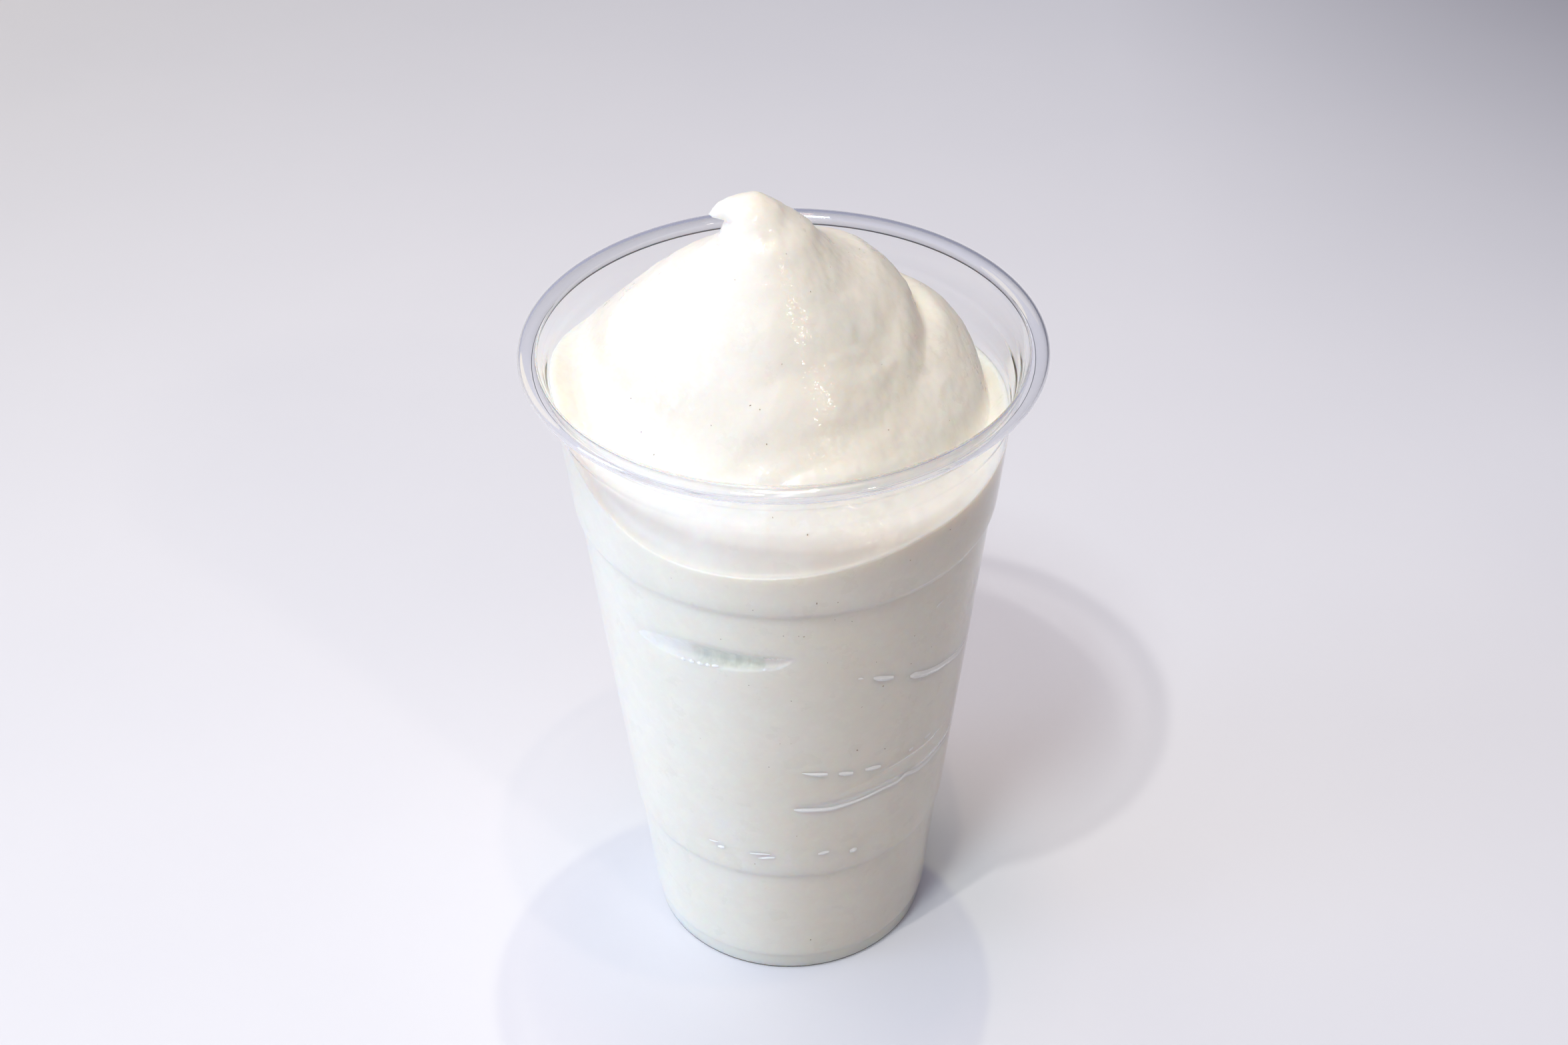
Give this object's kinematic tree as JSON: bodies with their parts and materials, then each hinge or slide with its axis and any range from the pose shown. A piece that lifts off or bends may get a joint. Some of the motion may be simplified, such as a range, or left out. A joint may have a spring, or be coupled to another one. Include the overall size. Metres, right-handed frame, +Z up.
{
  "type": "vanilla milkshake",
  "caption": "Vanilla milkshake in a clear tapered plastic cup with a rolled rim; the pale shake fills it and rises above the rim in a soft mound with a curled tip. For drinks and menu scenes.",
  "frame": {"origin": "centre of the cup's base, on the surface that it stands on", "axes": "+Z up along the cup's axis, -Y towards the side where the shake lies lowest on the wall (the front), +X to the right seen from the front"},
  "size_m": [0.098, 0.098, 0.1689],
  "materials": {
    "clear_plastic": "clear gloss",
    "vanilla_shake": "moist satin"
  },
  "bodies": {
    "root": {"cup": "clear_plastic", "milkshake": "vanilla_shake"}
  },
  "joints": []
}
